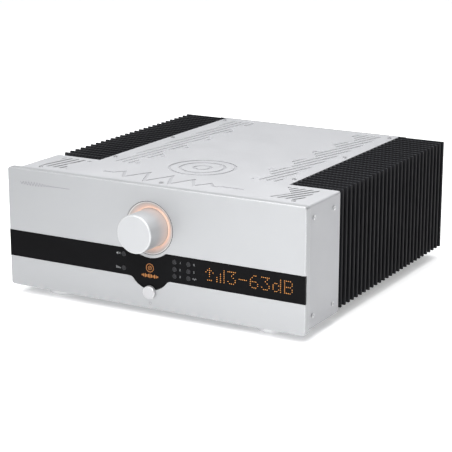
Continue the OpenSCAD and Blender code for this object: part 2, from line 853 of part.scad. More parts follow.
module post_insulators() {
    color([0.1, 0.1, 0.1]) in_row() for (p = post_at) difference() {
        union() {
            rod(p[0], p[1], post_flange_r, rear_y, rear_y + post_flange_t);
            rod(p[0], p[1], 5.9, cabinet_d - 2, rear_y + eps);
            rod(p[0], p[1], 8, cabinet_d - 5, cabinet_d);
        }
        rod(p[0], p[1], post_stud_r, cabinet_d - 10, rear_y + 8);
    }
}

// Turning cap of a speaker terminal, with shallow grips
module post_cap(p) {
    color([0.08, 0.08, 0.09]) in_row() difference() {
        turned(p[0], p[1]) polygon([
            [post_stud_r + shaft_gap, rear_y + post_flange_t + 0.6],
            [post_cap_r - 1, rear_y + post_flange_t + 0.6],
            [post_cap_r, rear_y + post_flange_t + 1.6],
            [post_cap_r, rear_y + post_reach - 2.5],
            [post_cap_r - 1.5, rear_y + post_reach - 1],
            [post_stud_r + shaft_gap, rear_y + post_reach - 1]]);
        for (a = [0 : 45 : 315])
            rod(p[0] + (post_cap_r + 0.6) * cos(a), p[1] + (post_cap_r + 0.6) * sin(a), 1.4,
                rear_y + post_flange_t + 3, rear_y + post_reach);
    }
}

module post_cap_1() {
    post_cap(post_at[0]);
}

module post_cap_2() {
    post_cap(post_at[1]);
}

module post_cap_3() {
    post_cap(post_at[2]);
}

module post_cap_4() {
    post_cap(post_at[3]);
}

module mains_inlet() {
    x = inlet_at[0];
    z = inlet_at[1];
    color([0.08, 0.08, 0.09]) in_row() {
        difference() {
            union() {
                slab(rear_y, plate_t) translate(inlet_at) round_rect(50, 44, 3);
                block([x - 23, cabinet_d - 24, z - 19], [x + 23, rear_y + eps, z + 19]);
            }
            slab(rear_y - 14, 30) translate([x, z + 7]) round_rect(24.6, 16.8, 2);
            block([x - 10.1, cabinet_d - 20, z - 14.1], [x + 10.1, rear_y + 5, z - 5.9]);
        }
        for (i = [-1, 0, 1]) block([x + 7 * i - 1, rear_y - 15, z + (i == 0 ? 7 : 3)],
                                   [x + 7 * i + 1, rear_y - 1, z + (i == 0 ? 11 : 7)]);
    }
}

module rocker_housing() {
    color([0.1, 0.1, 0.11]) in_row() translate([rocker_at[0], 0, rocker_at[1]]) difference() {
        union() {
            slab(rear_y, plate_t) round_rect(22, 30, 2);
            block([-9, cabinet_d - 14, -13], [9, rear_y + eps, 13]);
        }
        block([-7.1, cabinet_d - 10, -11.6], [7.1, rear_y + 5, 11.6]);
    }
}

module fuse_drawer() {
    x = inlet_at[0];
    z = inlet_at[1];
    color([0.14, 0.14, 0.15]) in_row() difference() {
        block([x - 10, cabinet_d - 19, z - 14], [x + 10, rear_y + plate_t + 1, z - 6]);
        block([x - 8, cabinet_d - 16, z - 12], [x + 8, rear_y - 3, z - 5]);
        block([x - 4, rear_y + plate_t, z - 10.5], [x + 4, rear_y + plate_t + 2, z - 9.5]);
    }
}

// Rocker: two faces in a shallow V inside a cylinder about the pivot, pressed on one side
module mains_rocker() {
    color([0.12, 0.12, 0.13]) in_row() translate([rocker_at[0], rear_y - 0.4, rocker_at[1]])
        rotate([-10, 0, 0]) rotate([90, 0, 90]) translate([0, 0, -7]) linear_extrude(14) intersection() {
            circle(11.4);
            polygon([[-4, -11.2], [3.4, -11.2], [1.2, 0], [3.4, 11.2], [-4, 11.2]]);
        }
}

front_panel();
display_window();
knob_dish();
lamp_ring();
volume_knob();
encoder_shaft();
encoder_body();
encoder_nut();
standby_button();
mute_button();
dim_button();
input_button_1();
input_button_2();
input_button_3();
input_button_4();
input_button_5();
input_button_6();
button_switches();
control_board();
display_board();
readout_cells();
emblem_guide();
front_frame();
panel_screws();
top_cover();
cover_screws();
cover_rails();
base_plate();
rear_panel();
rear_screws();
left_heatsink();
right_heatsink();
feet();
foot_pads();
foot_screws();
transformer();
transformer_pads();
transformer_clamp();
transformer_bolt();
supply_board();
board_pillars();
reservoir_capacitors();
bridge_rectifiers();
amp_boards();
output_transistors();
input_board();
ribbon_cable();
phono_shells();
phono_insulators();
balanced_sockets();
speaker_posts();
post_insulators();
post_cap_1();
post_cap_2();
post_cap_3();
post_cap_4();
mains_inlet();
fuse_drawer();
rocker_housing();
mains_rocker();
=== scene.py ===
"""Looks of the integrated power amplifier: materials, readout, printed marks, rear print and studio."""
import json
import math

import bmesh
import bpy
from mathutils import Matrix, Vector


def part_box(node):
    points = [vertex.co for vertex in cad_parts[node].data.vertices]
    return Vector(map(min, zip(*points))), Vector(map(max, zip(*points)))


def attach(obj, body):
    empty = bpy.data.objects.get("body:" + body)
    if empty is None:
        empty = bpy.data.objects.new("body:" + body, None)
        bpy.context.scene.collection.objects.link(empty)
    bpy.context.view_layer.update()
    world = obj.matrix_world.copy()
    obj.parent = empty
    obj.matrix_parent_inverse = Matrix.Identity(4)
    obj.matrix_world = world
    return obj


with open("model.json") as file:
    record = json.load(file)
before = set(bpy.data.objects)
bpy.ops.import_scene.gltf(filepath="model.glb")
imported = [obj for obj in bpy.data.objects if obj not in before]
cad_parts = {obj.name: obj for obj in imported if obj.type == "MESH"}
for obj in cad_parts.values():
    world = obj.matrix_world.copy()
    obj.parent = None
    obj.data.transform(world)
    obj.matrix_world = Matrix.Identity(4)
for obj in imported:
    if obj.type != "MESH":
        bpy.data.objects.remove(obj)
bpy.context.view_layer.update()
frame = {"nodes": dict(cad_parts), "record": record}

# Blender's row frame is in metres. The marks are drawn in panel millimetres: right of the middle,
# behind the front panel's face and above its lower edge.
MM = 0.001
FACE_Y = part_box("front_panel")[0].y
BASE_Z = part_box("front_panel")[0].z


def at(x, y, z):
    """Point in the row frame from panel millimetres."""
    return Vector((x * MM, FACE_Y + y * MM, BASE_Z + z * MM))


def axis_of(node):
    """Axis along the depth through a CAD node's centre: its place across and up, in metres."""
    lo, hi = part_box(node)
    return (lo.x + hi.x) / 2, (lo.z + hi.z) / 2


def middle(node):
    """Centre of a CAD node in panel millimetres, across and up."""
    x, z = axis_of(node)
    return x / MM, (z - BASE_Z) / MM


def add(name, data):
    """A new object in the scene."""
    obj = bpy.data.objects.new(name, data)
    bpy.context.scene.collection.objects.link(obj)
    return obj


# ---------------------------------------------------------------- material kit

BLOTCHES = 25  # scale of a surface's slow drift, per metre
SCUFFS = 400  # scale of the gaps in its bright edges, per metre
TURNED_PITCH = 0.2 * MM  # spacing of turned lines
NOISE_RANGE = (0.3, 0.7)  # most values of a noise lie between these
EDGE_TURN = (0.995, 0.9)  # cosines of the turn at which an edge starts to show and at which it is full
SCUFF_SHARE = (0.25, 0.5, 0.45, 1)  # two values of a noise, and the share of a bright edge left at each
GRAIN_SHARE = 0.35  # how strongly the grain shows in the colour
GRAIN_DARKER = 1.6  # how much darker the grain is, in times the colour's drift
RELIEF = 0.35  # strength of the grain's relief


class Graph:
    """A material's node tree."""

    def __init__(self, name):
        self.material = bpy.data.materials.new(name)
        self.material.use_nodes = True
        self.tree = self.material.node_tree
        self.tree.nodes.clear()
        out = self.node("ShaderNodeOutputMaterial")
        self.bsdf = self.node("ShaderNodeBsdfPrincipled")
        self.tree.links.new(self.bsdf.outputs[0], out.inputs[0])
        self.here = self.node("ShaderNodeTexCoord").outputs["Object"]

    def node(self, kind, **settings):
        n = self.tree.nodes.new(kind)
        for key, value in settings.items():
            setattr(n, key, value)
        return n

    def put(self, socket, value):
        """Links an input to a socket or sets it to a value."""
        if isinstance(value, bpy.types.NodeSocket):
            self.tree.links.new(value, socket)
        elif isinstance(value, (tuple, list)) and len(value) == 3 and len(socket.default_value) == 4:
            socket.default_value = (*value, 1)
        else:
            socket.default_value = value

    def set(self, **values):
        """Puts values on the surface's inputs, whose names have _ for a space."""
        for key, value in values.items():
            self.put(self.bsdf.inputs[key.replace("_", " ")], value)

    def colour(self):
        """The socket that the base colour comes from so far."""
        return self.bsdf.inputs["Base Color"].links[0].from_socket

    def math(self, operation, a, b=0.0, clamp=False):
        n = self.node("ShaderNodeMath", operation=operation, use_clamp=clamp)
        self.put(n.inputs[0], a)
        self.put(n.inputs[1], b)
        return n.outputs[0]

    def times(self, a, b):
        """Product of two values. For two masks it is where both hold."""
        return self.math("MULTIPLY", a, b)

    def size(self, value):
        """The value without its sign."""
        return self.math("ABSOLUTE", value)

    def above(self, value, limit):
        return self.math("GREATER_THAN", value, limit)

    def below(self, value, limit):
        return self.math("LESS_THAN", value, limit)

    def wave(self, value, per_turn):
        """Sine of a value that makes a full wave every per_turn."""
        return self.math("SINE", self.times(value, 2 * math.pi / per_turn))

    def span(self, value, lo, hi, to_lo=0.0, to_hi=1.0, smooth=False):
        """value between lo and hi, spread over to_lo to to_hi and clamped."""
        n = self.node("ShaderNodeMapRange", interpolation_type="SMOOTHSTEP" if smooth else "LINEAR")
        for i, v in enumerate((value, lo, hi, to_lo, to_hi)):
            self.put(n.inputs[i], v)
        return n.outputs[0]

    def mix(self, share, a, b):
        """Colour a where share is 0 and b where it is 1."""
        n = self.node("ShaderNodeMix", data_type="RGBA")
        self.put(n.inputs[0], share)
        self.put(n.inputs[6], a)
        self.put(n.inputs[7], b)
        return n.outputs[2]

    def stretched(self, x, y, z):
        """The place on the surface, scaled along the axes."""
        n = self.node("ShaderNodeMapping")
        self.put(n.inputs[0], self.here)
        n.inputs["Scale"].default_value = (x, y, z)
        return n.outputs[0]

    def noise(self, scale, detail, where=None):
        n = self.node("ShaderNodeTexNoise")
        self.put(n.inputs["Vector"], where or self.here)
        n.inputs["Scale"].default_value = scale
        n.inputs["Detail"].default_value = detail
        return n.outputs[0]

    def cells(self, scale):
        """Distance from the nearest of many scattered points."""
        n = self.node("ShaderNodeTexVoronoi")
        self.put(n.inputs["Vector"], self.here)
        n.inputs["Scale"].default_value = scale
        return n.outputs[0]

    def axes(self, where=None):
        """x, y and z of a vector, which is the place on the surface if none is given."""
        n = self.node("ShaderNodeSeparateXYZ")
        self.put(n.inputs[0], where or self.here)
        return n.outputs

    def normal(self):
        """The direction that the surface faces."""
        return self.node("ShaderNodeNewGeometry").outputs["Normal"]

    def distance(self, a, b):
        """How far a point is from the origin, from its two coordinates."""
        return self.math("SQRT", self.math("ADD", self.times(a, a), self.times(b, b)))

    def radius(self, x, z):
        """Distance from an axis along the depth, in metres."""
        place = self.axes()
        return self.distance(self.math("SUBTRACT", place[0], x), self.math("SUBTRACT", place[2], z))

    def rings(self, x, z):
        """Fine turned lines about an axis along the depth."""
        n = self.node("ShaderNodeTexNoise", noise_dimensions="1D")
        self.put(n.inputs["W"], self.radius(x, z))
        n.inputs["Scale"].default_value = 1 / TURNED_PITCH
        n.inputs["Detail"].default_value = 2
        return n.outputs[0]

    def edge_wear_and_highlight(self, size):
        """1 along sharp edges and 0 elsewhere, from a rounded copy of the surface's direction: where the
        edges' wear and painted highlight go.
        """
        bevel = self.node("ShaderNodeBevel", samples=4)
        bevel.inputs["Radius"].default_value = size
        dot = self.node("ShaderNodeVectorMath", operation="DOT_PRODUCT")
        self.put(dot.inputs[0], bevel.outputs[0])
        self.put(dot.inputs[1], self.normal())
        return self.span(dot.outputs["Value"], *EDGE_TURN)

    def bump(self, height, strength, depth):
        """Relief of the surface, from a height and the depth in metres that it stands for."""
        n = self.node("ShaderNodeBump")
        n.inputs["Strength"].default_value = strength
        n.inputs["Distance"].default_value = depth
        self.put(n.inputs["Height"], height)
        self.set(Normal=n.outputs[0])


def shade(colour, by):
    """A colour made lighter or darker."""
    return tuple(min(1.0, c * by) for c in colour)


def surface(name, colour=None, metal=0.0, rough=0.5, vary=0.05, grain=2500, depth=0.00004, stretch=None,
            edge=None, edge_size=0.0004, turned=None, spread=0.08, **extra):
    """Base material of every part: slow drift and fine grain in colour, roughness and relief, and bright
    edges that are partly wear and partly a painted highlight.

    Without a colour the caller sets it. vary and spread are how far colour and roughness drift, turned is
    the axis of turned lines that take the grain's place, and extra goes to the surface's other inputs.
    """
    g = Graph(name)
    drift = g.noise(BLOTCHES, 3)
    if turned:
        fine = g.rings(*turned)
    else:
        fine = g.noise(grain, 2, g.stretched(*stretch) if stretch else None)
    if colour:
        tone = g.mix(g.span(drift, *NOISE_RANGE), shade(colour, 1 - vary), shade(colour, 1 + vary))
        grain_share = g.span(fine, *NOISE_RANGE, 0, GRAIN_SHARE)
        tone = g.mix(grain_share, tone, shade(colour, 1 - GRAIN_DARKER * vary))
        if edge:
            # The bright edge colour is partly wear and partly a painted highlight along the edges.
            wear_and_highlight = g.times(g.edge_wear_and_highlight(edge_size), g.span(g.noise(SCUFFS, 3), *SCUFF_SHARE))
            tone = g.mix(wear_and_highlight, tone, edge)
        g.set(Base_Color=tone)
    shine = g.math("ADD", g.span(drift, *NOISE_RANGE, rough - spread / 2, rough + spread / 2),
                   g.span(fine, *NOISE_RANGE, -spread / 2, spread / 2), clamp=True)
    g.set(Metallic=metal, Roughness=shine, **extra)
    g.bump(fine, RELIEF, depth)
    return g


# ---------------------------------------------------------------- plain materials

# By the record's material slot, the parts that need no more than the base material
# edge is the colour of the bright edges, partly wear and partly a painted highlight.
PLAIN = {
    "panel_aluminium": dict(
        name="panel_silver", colour=(0.37, 0.375, 0.384), metal=0.55, rough=0.46, vary=0.012, grain=3500,
        depth=0.00003, edge=(0.74, 0.74, 0.75), edge_size=0.0006),
    "button_aluminium": dict(
        name="standby_silver", colour=(0.42, 0.42, 0.43), metal=0.4, rough=0.36, vary=0.015,
        turned=axis_of("standby_button"), edge=(1, 1, 1)),
    "foot_aluminium": dict(
        name="foot_silver", colour=(0.74, 0.74, 0.75), metal=0.7, rough=0.32, vary=0.02,
        stretch=(1, 1, 12), edge=(0.95, 0.95, 0.95)),
    "window_acrylic": dict(
        name="window_black", colour=(0.0035, 0.0035, 0.004), rough=0.1, vary=0.1, grain=900,
        depth=0.000004, spread=0.03, edge=(0.05, 0.05, 0.055), edge_size=0.0003, IOR=1.12),
    "lamp_diffuser": dict(
        name="lamp_glow", colour=(0.7, 0.5, 0.4), vary=0.03,
        Emission_Color=(1.0, 0.5, 0.33), Emission_Strength=0.04),
    "button_plastic": dict(
        name="button_black", colour=(0.011, 0.011, 0.0125), rough=0.42, vary=0.1, grain=3000,
        edge=(0.08, 0.08, 0.085), edge_size=0.0003, IOR=1.3),
    "steel": dict(
        name="plain_steel", colour=(0.5, 0.5, 0.51), metal=0.95, rough=0.32, stretch=(1, 0.1, 1),
        edge=(0.8, 0.8, 0.8)),
    "screw_steel": dict(
        name="screw_steel", colour=(0.55, 0.55, 0.56), metal=0.9, rough=0.3,
        edge=(0.85, 0.85, 0.85), edge_size=0.0002),
    "rear_paint": dict(
        name="rear_black", colour=(0.025, 0.025, 0.027), metal=0.1, rough=0.55, vary=0.1, grain=1600,
        depth=0.0001, edge=(0.1, 0.1, 0.1)),
    "rubber": dict(
        name="rubber_black", colour=(0.02, 0.02, 0.02), rough=0.85, vary=0.15, grain=1200, depth=0.0002),
    "switch_plastic": dict(
        name="switch_black", colour=(0.03, 0.03, 0.032), vary=0.1, edge=(0.09, 0.09, 0.09)),
    "brass_pillar": dict(
        name="brass", colour=(0.72, 0.52, 0.22), metal=0.95, rough=0.3, vary=0.06,
        edge=(0.9, 0.75, 0.45)),
    "gold": dict(
        name="gold_plate", colour=(0.9, 0.64, 0.25), metal=1.0, rough=0.2, vary=0.04,
        stretch=(1, 12, 1), edge=(1, 0.85, 0.55)),
    "socket_metal": dict(
        name="nickel", colour=(0.66, 0.65, 0.62), metal=1.0, rough=0.25, vary=0.04,
        stretch=(1, 10, 1), edge=(0.9, 0.9, 0.88)),
    "epoxy": dict(
        name="epoxy_black", colour=(0.03, 0.03, 0.032), rough=0.38, vary=0.1, edge=(0.12, 0.12, 0.12)),
    "terminal_plastic": dict(
        name="terminal_black", colour=(0.02, 0.02, 0.022), rough=0.36, vary=0.1, edge=(0.1, 0.1, 0.1)),
    "guide_acrylic": dict(
        name="guide_clear", colour=(0.75, 0.72, 0.68), rough=0.2, vary=0.04, edge=(0.9, 0.9, 0.9),
        Transmission_Weight=0.4),
    "readout": dict(
        name="readout_dark", colour=(0.012, 0.01, 0.009), rough=0.35, vary=0.15, grain=1200),
    "cap_plastic": dict(
        name="cap_black", colour=(0.015, 0.015, 0.016), rough=0.22, vary=0.1, edge=(0.1, 0.1, 0.1)),
}


# ---------------------------------------------------------------- materials with a pattern of their own

# Where the cuts in the cover's top are, in millimetres from the middle, behind the panel's face and
# below the top
RINGS_HALF = 55
TRACE_HALF, TRACE_BACK = 112, 90
STRIPS_HALF = 125
CUT_TOP, CUT_FOOT = 0.05, 1.55


def cover_paint():
    """The cover's silver. Painted light on the vent slots' cut walls: a lighter colour and a faint glow that
    lift their shade. Painted shade on the engraving's grooves and on the sides, which are a little darker.
    """
    upright = 0.5  # a wall's direction rises less than this
    side_shade_from = 0.7  # the sides' tint starts where the direction is this far across
    g = surface("cover_silver", (0.44, 0.442, 0.456), metal=0.35, vary=0.012, grain=1800, depth=0.00006,
                edge=(0.72, 0.72, 0.74), edge_size=0.0006)
    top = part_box("top_cover")[1].z
    place = g.axes()
    off = g.size(place[0])
    facing = g.axes(g.normal())
    cut = g.times(g.above(place[2], top - CUT_FOOT * MM), g.below(place[2], top - CUT_TOP * MM))
    trace = g.times(g.below(off, TRACE_HALF * MM), g.below(place[1], at(0, TRACE_BACK, 0).y))
    drawn = g.math("MAXIMUM", g.below(off, RINGS_HALF * MM), trace)  # where the engraving is
    strips = g.times(g.below(off, STRIPS_HALF * MM), g.math("SUBTRACT", 1, drawn))
    painted_light_slot_walls = g.times(g.times(cut, g.below(g.size(facing[2]), upright)), strips)
    # Painted shade: the sides, which face across, are a little darker.
    tone = g.mix(g.span(g.size(facing[0]), side_shade_from, 1), g.colour(), (0.385, 0.387, 0.4))
    # Painted light on the vent slots' cut walls: a lighter colour here and a faint glow below, which lift
    # their shade.
    tone = g.mix(painted_light_slot_walls, tone, (0.74, 0.74, 0.76))
    # Painted shade: the engraving's grooves are darker.
    g.set(Base_Color=g.mix(g.times(cut, drawn), tone, (0.38, 0.38, 0.395)),
          Emission_Color=(0.95, 0.97, 1.0), Emission_Strength=g.times(painted_light_slot_walls, 0.1))
    return g


def dish_silver():
    """The dish round the knob: a dark parting line, a bright rim, and in its middle a painted glow that
    stands in for the lamp ring's light.
    """
    parting, rim_w = 0.7 * MM, 1.9 * MM
    painted_glow_from, painted_glow_full = 33.5 * MM, 26.5 * MM
    axis = axis_of("volume_knob")
    lo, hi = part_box("knob_dish")
    outer = (hi.x - lo.x) / 2
    g = surface("dish_silver", (0.51, 0.49, 0.485), metal=0.5, rough=0.34, vary=0.02, turned=axis)
    r = g.radius(*axis)
    # Painted light: the dish glows near the lamp ring, though it is no lamp itself.
    glow = g.span(r, painted_glow_from, painted_glow_full, smooth=True)
    tone = g.mix(g.above(r, outer - rim_w), g.colour(), (0.72, 0.72, 0.72))
    g.set(Base_Color=g.mix(g.above(r, outer - parting), tone, (0.1, 0.1, 0.1)),
          Emission_Color=(1.0, 0.52, 0.33), Emission_Strength=g.times(glow, 0.32))
    return g


def knob_silver():
    """The knob, with a painted glow on its root that stands in for the lamp ring's light."""
    painted_glow_length = 20 * MM
    g = surface("knob_silver", (0.4, 0.405, 0.415), metal=0.35, rough=0.42, vary=0.01,
                turned=axis_of("volume_knob"), edge=(0.85, 0.85, 0.85), edge_size=0.0008)
    root = g.span(g.axes()[1], FACE_Y - painted_glow_length, FACE_Y, smooth=True)
    # Painted light: the knob's root glows near the panel, though it is no lamp.
    g.set(Emission_Color=(1.0, 0.55, 0.36), Emission_Strength=g.times(root, 0.14))
    return g


def fins_black():
    """Anodised heatsinks: fine ribs along each fin, in the relief and as a painted highlight of pale dashes
    on its top edge. Painted light lifts the shade on the fins' broad faces, which are lighter than their tops
    and ends.
    """
    rib_pitch, tip = 5.2 * MM, 0.6 * MM
    g = surface("fins_black", vary=0.1, grain=1500, stretch=(1, 1, 0.05))
    place = g.axes()
    ribs = g.wave(place[0], rib_pitch)
    # Painted highlight: pale dashes where the ribs meet the top edge.
    painted_dash_highlight = g.times(g.span(ribs, -0.2, 0.9), g.above(place[2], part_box("left_heatsink")[1].z - tip))
    flank = g.size(g.axes(g.normal())[1])  # 1 on the fins' broad faces
    # Painted light and shade: the broad faces between the fins are lighter and the tops and ends darker.
    plain = g.mix(flank, (0.0025, 0.0025, 0.0035), (0.012, 0.012, 0.014))
    g.set(Base_Color=g.mix(painted_dash_highlight, plain, (0.018, 0.019, 0.023)),
          Specular_IOR_Level=g.span(flank, 0, 1, 0.07, 0.2))
    g.bump(ribs, 0.5, 0.0004)
    return g


def zinc_sheet():
    """Galvanised sheet, whose crystals shine unevenly."""
    crystals = 140  # per metre
    g = surface("zinc_sheet", (0.42, 0.43, 0.45), metal=0.85, edge=(0.7, 0.7, 0.72))
    g.set(Roughness=g.span(g.cells(crystals), 0.2, 0.8, 0.3, 0.5))
    return g


def insulators():
    """Phono sockets' insulators: white in the upper row and red in the lower one."""
    g = surface("insulator_two", rough=0.35)
    upper = g.above(g.axes()[2], axis_of("phono_insulators")[1])
    g.set(Base_Color=g.mix(upper, (0.5, 0.02, 0.02), (0.8, 0.8, 0.78)))
    return g


def circuit_board():
    """Green mask with copper tracks under it and bare pads."""
    pads_per_metre, pad_share = 260, 0.12
    g = surface("board_green", rough=0.3)
    tracks = g.node("ShaderNodeTexBrick", offset=0.5)
    g.put(tracks.inputs["Vector"], g.here)
    for key, value in (("Scale", 110), ("Mortar Size", 0.03), ("Brick Width", 0.9), ("Row Height", 0.35)):
        tracks.inputs[key].default_value = value
    pads = g.below(g.cells(pads_per_metre), pad_share)
    tone = g.mix(tracks.outputs["Fac"], (0.015, 0.11, 0.04), (0.03, 0.2, 0.08))
    g.set(Base_Color=g.mix(pads, tone, (0.7, 0.62, 0.4)), Metallic=g.times(pads, 0.8))
    return g


def winding():
    """The transformer's lacquered wire, which runs round its ring."""
    waves = 260  # per radian
    lo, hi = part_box("transformer")
    g = surface("winding_amber", metal=0.3, rough=0.28)
    place = g.axes()
    angle = g.math("ARCTAN2", g.math("SUBTRACT", place[1], (lo.y + hi.y) / 2), place[0])
    turns = g.math("SINE", g.times(angle, waves))
    g.set(Base_Color=g.mix(g.span(turns, -1, 1), (0.3, 0.13, 0.03), (0.62, 0.34, 0.1)))
    g.bump(turns, 0.6, 0.0003)
    return g


def capacitor():
    """Dark sleeve with a pale stripe, and a plain metal top."""
    stripes_per_metre, stripe_share, top_h = 20, 0.12, 0.5 * MM
    g = surface("capacitor_sleeve", rough=0.32)
    place = g.axes()
    stripe = g.below(g.math("FRACT", g.times(place[0], stripes_per_metre)), stripe_share)
    top = g.above(place[2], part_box("reservoir_capacitors")[1].z - top_h)
    sleeve = g.mix(stripe, (0.02, 0.025, 0.05), (0.6, 0.6, 0.62))
    g.set(Base_Color=g.mix(top, sleeve, (0.55, 0.55, 0.56)), Metallic=g.times(top, 0.8))
    return g


def ribbon_cable():
    """Grey cores side by side."""
    core_pitch = 1.27 * MM
    g = surface("ribbon_grey", rough=0.45)
    cores = g.wave(g.axes()[0], core_pitch)
    g.set(Base_Color=g.mix(g.span(cores, -1, 1), (0.28, 0.28, 0.29), (0.5, 0.51, 0.52)))
    g.bump(cores, 0.7, 0.0003)
    return g


PATTERNED = {
    "cover_paint": cover_paint, "dish_aluminium": dish_silver, "knob_aluminium": knob_silver,
    "black_anodised": fins_black, "chassis_steel": zinc_sheet, "insulator": insulators,
    "circuit_board": circuit_board, "winding": winding, "capacitor": capacitor, "ribbon": ribbon_cable,
}

MATERIALS = {slot: surface(**look).material for slot, look in PLAIN.items()}
MATERIALS.update({slot: build().material for slot, build in PATTERNED.items()})

# The second and the fourth terminal cap are red
CAP_RED = surface("cap_red", (0.5, 0.012, 0.015), rough=0.22, vary=0.08, edge=(0.75, 0.15, 0.12)).material
slot_of = {part["node"]: part["material_slot"] for part in frame["record"]["subparts"]}
for name, node in frame["nodes"].items():
    look = CAP_RED if name in ("post_cap_2", "post_cap_4") else MATERIALS[slot_of[name]]
    node.data.materials.clear()
    node.data.materials.append(look)

# Materials of the added pieces
LIT = surface("readout_lit", (0.5, 0.2, 0.04), rough=0.4,
              Emission_Color=(1.0, 0.4, 0.06), Emission_Strength=0.65)
UNLIT = surface("readout_unlit", (0.004, 0.0038, 0.0037), rough=0.2, vary=0.1, IOR=1.12)
EMBLEM = surface("emblem_lit", (0.5, 0.2, 0.05), rough=0.4, vary=0.06,
                 Emission_Color=(1.0, 0.36, 0.06), Emission_Strength=0.2)
PRINT = surface("print_grey", (0.2, 0.205, 0.21), rough=0.55, vary=0.06)
FAINT = surface("print_faint", (0.16, 0.163, 0.168), rough=0.55, vary=0.04)
WHITE = surface("print_white", (0.7, 0.7, 0.7), rough=0.55, vary=0.04)


# ---------------------------------------------------------------- raised shapes

CHAMFER_FROM = 0.6  # share of a shape's height at which its chamfer starts
LEAST_TOP = 0.6  # least share of a shape's outline that the chamfer leaves


class Plate:
    """Closed thin shapes standing on a vertical face, in panel millimetres, gathered into one piece.

    face is the depth of the face they stand on. out is -1 when it looks forwards and 1 when it looks back.
    """

    def __init__(self, face, height, out=-1):
        self.face, self.height, self.out = face, height, out
        self.mesh = bmesh.new()

    def point(self, x, z, share):
        """A new vertex at a share of the shapes' height above the face."""
        return self.mesh.verts.new(at(x, self.face + self.out * self.height * share, z))

    def join(self, a, b):
        """Quads between two rows of points that each close on themselves."""
        for i in range(len(a)):
            j = (i + 1) % len(a)
            self.mesh.faces.new((a[i], a[j], b[j], b[i]))

    def solid(self, points, slope=0.25):
        """A shape given by its outline, with a chamfered front edge."""
        cx = sum(x for x, z in points) / len(points)
        cz = sum(z for x, z in points) / len(points)
        reach = max(math.hypot(x - cx, z - cz) for x, z in points)
        shrink = max(LEAST_TOP, 1 - slope * self.height / reach)
        inner = [(cx + (x - cx) * shrink, cz + (z - cz) * shrink) for x, z in points]
        rings = [[self.point(x, z, share) for x, z in outline]
                 for outline, share in ((points, 0), (points, CHAMFER_FROM), (inner, 1))]
        self.mesh.faces.new(rings[0])
        self.mesh.faces.new(rings[-1])
        for a, b in zip(rings, rings[1:]):
            self.join(a, b)

    def dot(self, x, z, r, sides=10):
        """A small round shape with a domed front."""
        angles = [2 * math.pi * i / sides for i in range(sides)]
        self.solid([(x + r * math.cos(a), z + r * math.sin(a)) for a in angles], slope=1.2)

    def bar(self, x0, z0, x1, z1, w):
        """A straight stroke of width w, whose square ends reach half a width further."""
        length = math.hypot(x1 - x0, z1 - z0)
        u, v = (x1 - x0) / length * w / 2, (z1 - z0) / length * w / 2
        self.solid([(x0 - u - v, z0 - v + u), (x1 + u - v, z1 + v + u),
                    (x1 + u + v, z1 + v - u), (x0 - u + v, z0 - v - u)])

    def line(self, points, w):
        """Straight strokes of width w from point to point."""
        for a, b in zip(points, points[1:]):
            self.bar(*a, *b, w)

    def band(self, x, z, r, w, start=0, end=360, steps=40):
        """A ring or part of one, of width w."""
        whole = end - start >= 360
        section = ((r - w / 2, 0), (r - w / 2, 1), (r + w / 2, 1), (r + w / 2, 0))
        rows = []
        for i in range(steps if whole else steps + 1):
            a = math.radians(start + (end - start) * i / steps)
            rows.append([self.point(x + q * math.cos(a), z + q * math.sin(a), share)
                         for q, share in section])
        for a, b in zip(rows, rows[1:] + rows[:1] if whole else rows[1:]):
            self.join(a, b)
        if not whole:
            self.mesh.faces.new(rows[0])
            self.mesh.faces.new(rows[-1])

    def digit(self, value, x, z, h, w):
        """A seven-stroke numeral from 1 to 6, centred on x, z."""
        a, b = h / 4, h / 2
        strokes = {"t": ((-a, b), (a, b)), "m": ((-a, 0), (a, 0)), "b": ((-a, -b), (a, -b)),
                   "p": ((-a, 0), (-a, b)), "q": ((a, 0), (a, b)), "r": ((-a, -b), (-a, 0)),
                   "s": ((a, -b), (a, 0))}
        for key in {1: "qs", 2: "tqmrb", 3: "tqmsb", 4: "pmqs", 5: "tpmsb", 6: "tpmrsb"}[value]:
            (x0, z0), (x1, z1) = strokes[key]
            self.bar(x + x0, z + z0, x + x1, z + z1, w)

    def done(self, name, look):
        """Makes the piece, which rides on the chassis."""
        bmesh.ops.recalc_face_normals(self.mesh, faces=self.mesh.faces)
        data = bpy.data.meshes.new(name)
        self.mesh.to_mesh(data)
        self.mesh.free()
        data.materials.append(look.material)
        piece = add(name, data)
        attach(piece, "chassis")


# ---------------------------------------------------------------- readout

WINDOW_FACE = (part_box("display_window")[0].y - FACE_Y) / MM

# Characters of five by seven dots, one string per row of dots
GLYPHS = {
    "arrow": ("00100", "01110", "10101", "00100", "00100", "00000", "01110"),
    "level": ("00001", "00001", "00101", "00101", "10101", "10101", "10101"),
    "3": ("11111", "00010", "00100", "00010", "00001", "10001", "01110"),
    "-": ("00000", "00000", "00000", "11111", "00000", "00000", "00000"),
    "6": ("00110", "01000", "10000", "11110", "10001", "10001", "01110"),
    "d": ("00001", "00001", "01101", "10011", "10001", "10011", "01101"),
    "B": ("11110", "10001", "10001", "11110", "10001", "10001", "11110"),
}
MESSAGE = ("arrow", "level", "3", "-", "6", "3", "d", "B")
CELL_W = 15.2
DOT_PITCH = 2.5
DOT_R = 0.5
LIT_H, UNLIT_H = 0.16, 0.03


